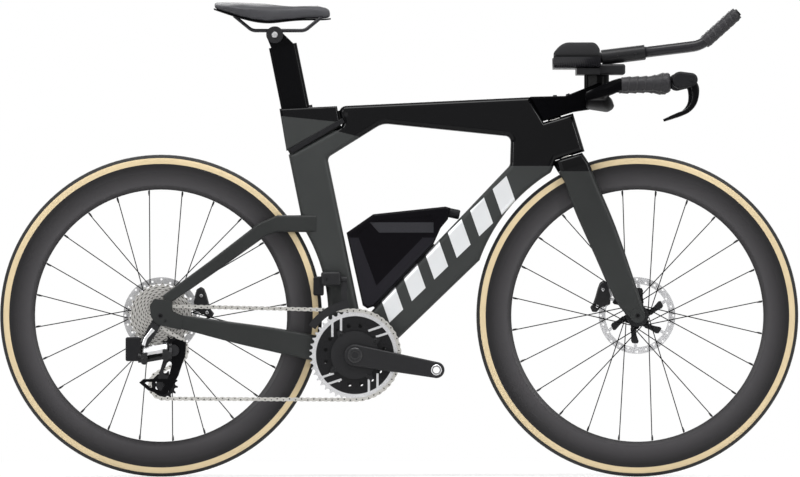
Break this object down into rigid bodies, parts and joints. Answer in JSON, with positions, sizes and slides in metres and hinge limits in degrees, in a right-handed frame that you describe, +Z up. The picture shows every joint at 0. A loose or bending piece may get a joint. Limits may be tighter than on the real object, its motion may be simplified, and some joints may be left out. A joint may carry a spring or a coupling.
{
  "type": "time trial bike",
  "caption": "Aerodynamic time trial bicycle with deep rims, disc brakes, base bar with forearm rests and extensions, geared chain drive and a frame bottle.",
  "frame": {"origin": "on the ground, midway between the wheels' contact points, in the wheels' middle plane", "axes": "+X forward, +Y to the rider's left, +Z up; the drive side faces -Y"},
  "size_m": [1.666, 0.442, 0.9911],
  "materials": {
    "frame_paint": "satin dark green-grey lacquer over carbon",
    "gloss_black": "gloss black lacquer over carbon",
    "carbon": "clear lacquer over dark carbon",
    "tyre": "black tread with tan side walls",
    "steel": "brushed",
    "silver_alloy": "satin silver",
    "black_alloy": "black anodised",
    "black_plastic": "matt black",
    "bottle_plastic": "translucent dark grey",
    "saddle_cover": "matt black cover over foam",
    "pad_foam": "matt black foam",
    "tape": "matt black wrapped tape"
  },
  "bodies": {
    "frame": {"main_frame": "frame_paint", "rear_stays": "frame_paint", "bottom_bracket": "black_alloy", "derailleur_hanger": "black_alloy", "rear_thru_axle": "black_alloy", "rear_caliper": "black_alloy", "front_derailleur_body": "black_alloy", "derailleur_batteries": "black_plastic", "rear_derailleur_base": "black_alloy", "headset_bearings": "steel", "bottle_rail": "black_alloy", "mast_pin": "black_alloy", "chain": "steel"},
    "mast": {"seat_mast": "frame_paint", "seatpost_wedge": "black_alloy"},
    "post": {"seatpost": "gloss_black"},
    "saddle_clamp": {"rail_clamp": "black_alloy"},
    "saddle": {"saddle_pad": "saddle_cover", "saddle_shell": "carbon", "saddle_rails": "carbon"},
    "steering": {"fork": "gloss_black", "base_bar": "gloss_black", "front_thru_axle": "black_alloy", "front_caliper": "black_alloy", "bar_grips": "tape", "lever_bodies": "black_plastic", "riser": "gloss_black", "extension_bracket": "black_alloy", "arm_cups": "carbon", "arm_pads": "pad_foam"},
    "front_wheel": {"front_tyre": "tyre", "front_rim": "carbon", "front_spokes": "steel", "front_hub": "black_alloy", "front_rotor": "steel"},
    "rear_wheel": {"rear_tyre": "tyre", "rear_rim": "carbon", "rear_spokes": "steel", "rear_hub": "black_alloy", "rear_rotor": "steel"},
    "cassette": {"cassette": "steel"},
    "crankset": {"right_crank": "black_alloy", "left_crank": "black_alloy", "outer_chainring": "silver_alloy", "inner_chainring": "silver_alloy"},
    "outer_link": {"outer_link": "silver_alloy"},
    "inner_link": {"inner_link": "black_alloy"},
    "knuckle": {"derailleur_knuckle": "black_alloy"},
    "cage": {"derailleur_cage": "black_alloy"},
    "guide_pulley": {"guide_pulley": "black_plastic"},
    "tension_pulley": {"tension_pulley": "black_plastic"},
    "front_cage": {"front_derailleur_cage": "black_alloy"},
    "left_lever": {"left_brake_lever": "black_alloy"},
    "right_lever": {"right_brake_lever": "black_alloy"},
    "left_extension": {"left_extension": "carbon"},
    "right_extension": {"right_extension": "carbon"},
    "left_button": {"left_shift_button": "black_plastic"},
    "right_button": {"right_shift_button": "black_plastic"},
    "bottle": {"bottle": "bottle_plastic", "bottle_cap": "black_plastic"}
  },
  "joints": [
    {"name": "mast_flex", "type": "hinge", "parent": "frame", "child": "mast", "pos_m": [-0.11082, 0, 0.75667], "axis": [0, -1, 0], "range_deg": [0, 1.5], "stiffness_Nm_per_rad": 2300},
    {"name": "seatpost_slide", "type": "slide", "parent": "mast", "child": "post", "axis": [-0.1994, 0, 0.9799], "range_m": [-0.008, 0.025]},
    {"name": "saddle_tilt", "type": "hinge", "parent": "post", "child": "saddle_clamp", "pos_m": [-0.25975, 0, 0.92188], "axis": [0, 1, 0], "range_deg": [-5, 5]},
    {"name": "saddle_slide", "type": "slide", "parent": "saddle_clamp", "child": "saddle", "axis": [1, 0, 0], "range_m": [-0.012, 0.012]},
    {"name": "steering", "type": "hinge", "parent": "frame", "child": "steering", "pos_m": [0.45397, 0, 0.32284], "axis": [-0.2924, 0, 0.9563], "range_deg": [-40, 40]},
    {"name": "front_wheel_spin", "type": "hinge", "parent": "steering", "child": "front_wheel", "pos_m": [0.497, 0, 0.336], "axis": [0, 1, 0], "continuous": true},
    {"name": "rear_wheel_spin", "type": "hinge", "parent": "frame", "child": "rear_wheel", "pos_m": [-0.497, 0, 0.336], "axis": [0, 1, 0], "continuous": true},
    {"name": "crank_spin", "type": "hinge", "parent": "frame", "child": "crankset", "pos_m": [-0.09222, 0, 0.254], "axis": [0, 1, 0], "continuous": true, "deforming": ["chain"]},
    {"name": "cassette_spin", "type": "hinge", "parent": "frame", "child": "cassette", "pos_m": [-0.497, 0, 0.336], "axis": [0, 1, 0], "continuous": true},
    {"name": "outer_link_swing", "type": "hinge", "parent": "frame", "child": "outer_link", "pos_m": [-0.53043, -0.09132, 0.26141], "axis": [0, 0.6561, 0.7547], "range_deg": [0, 70]},
    {"name": "inner_link_swing", "type": "hinge", "parent": "frame", "child": "inner_link", "pos_m": [-0.53043, -0.07471, 0.24697], "axis": [0, 0.6561, 0.7547], "range_deg": [0, 70]},
    {"name": "knuckle_swing", "type": "hinge", "parent": "outer_link", "child": "knuckle", "pos_m": [-0.486, -0.1003, 0.26922], "axis": [0, 0.6561, 0.7547], "range_deg": [-70, 0]},
    {"name": "cage_tension", "type": "hinge", "parent": "knuckle", "child": "cage", "pos_m": [-0.47, -0.064, 0.264], "axis": [0, -1, 0], "range_deg": [0, 45], "stiffness_Nm_per_rad": 0.6, "springref_deg": -45.84},
    {"name": "guide_pulley_spin", "type": "hinge", "parent": "cage", "child": "guide_pulley", "pos_m": [-0.47, -0.064, 0.264], "axis": [0, 1, 0], "continuous": true},
    {"name": "tension_pulley_spin", "type": "hinge", "parent": "cage", "child": "tension_pulley", "pos_m": [-0.49117, -0.064, 0.19205], "axis": [0, 1, 0], "continuous": true},
    {"name": "front_cage_swing", "type": "hinge", "parent": "frame", "child": "front_cage", "pos_m": [-0.0288, -0.034, 0.412], "axis": [1, 0, 0], "range_deg": [0, 6]},
    {"name": "left_brake_pull", "type": "hinge", "parent": "steering", "child": "left_lever", "pos_m": [0.60499, 0.2, 0.82642], "axis": [0, 1, 0], "range_deg": [0, 18], "stiffness_Nm_per_rad": 3, "springref_deg": -5.73},
    {"name": "right_brake_pull", "type": "hinge", "parent": "steering", "child": "right_lever", "pos_m": [0.60499, -0.2, 0.82642], "axis": [0, 1, 0], "range_deg": [0, 18], "stiffness_Nm_per_rad": 3, "springref_deg": -5.73},
    {"name": "left_extension_slide", "type": "slide", "parent": "steering", "child": "left_extension", "axis": [0.9925, 0, 0.1219], "range_m": [-0.02, 0.02]},
    {"name": "left_button_press", "type": "slide", "parent": "left_extension", "child": "left_button", "axis": [-0.7431, 0, -0.6691], "range_m": [0, 0.0015], "stiffness_N_per_m": 2000, "springref_m": -0.0005},
    {"name": "right_extension_slide", "type": "slide", "parent": "steering", "child": "right_extension", "axis": [0.9925, 0, 0.1219], "range_m": [-0.02, 0.02]},
    {"name": "right_button_press", "type": "slide", "parent": "right_extension", "child": "right_button", "axis": [-0.7431, 0, -0.6691], "range_m": [0, 0.0015], "stiffness_N_per_m": 2000, "springref_m": -0.0005},
    {"name": "bottle_pull", "type": "slide", "parent": "frame", "child": "bottle", "axis": [0, 1, 0], "range_m": [0, 0.15]}
  ],
  "couplings": [
    {"joint": "cassette_spin", "follows": "crank_spin", "ratio": 4.6},
    {"joint": "guide_pulley_spin", "follows": "crank_spin", "ratio": -3.2857},
    {"joint": "tension_pulley_spin", "follows": "crank_spin", "ratio": 3.2857},
    {"joint": "inner_link_swing", "follows": "outer_link_swing", "ratio": 1},
    {"joint": "knuckle_swing", "follows": "outer_link_swing", "ratio": -1}
  ]
}
